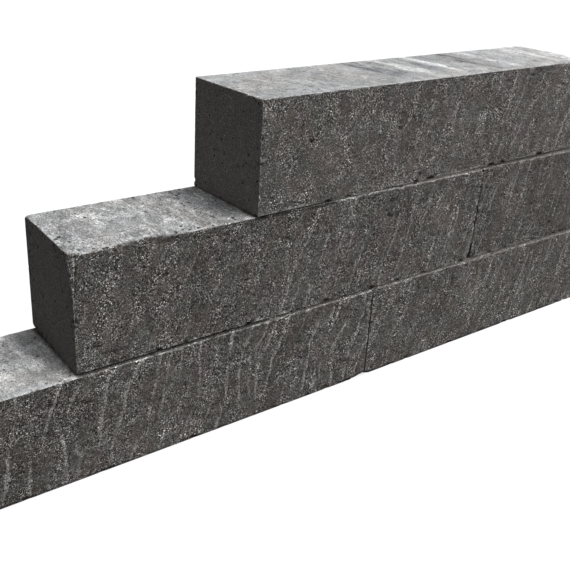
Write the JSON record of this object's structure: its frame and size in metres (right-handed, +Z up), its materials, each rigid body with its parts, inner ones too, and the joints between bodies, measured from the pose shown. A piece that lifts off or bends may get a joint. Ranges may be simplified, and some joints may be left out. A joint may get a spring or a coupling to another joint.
{
  "type": "stack of concrete walling blocks",
  "caption": "Stepped dry stack of long solid concrete walling blocks laid in staggered courses, dark grey with rough drawn faces and paler beds, standing free as a low garden wall.",
  "frame": {"origin": "on the ground, under the middle of the stack's bounding box", "axes": "+X along the courses, from the narrow steps to the wide ones; +Y from the blocks' faces to their backs; +Z up"},
  "size_m": [1.8042, 0.1468, 0.39],
  "materials": {
    "concrete": "rough cast, dark grey"
  },
  "bodies": {
    "root": {"bottom_left_block": "concrete", "bottom_middle_block": "concrete", "bottom_right_block": "concrete", "second_left_block": "concrete", "second_right_block": "concrete", "top_block": "concrete"}
  },
  "joints": []
}
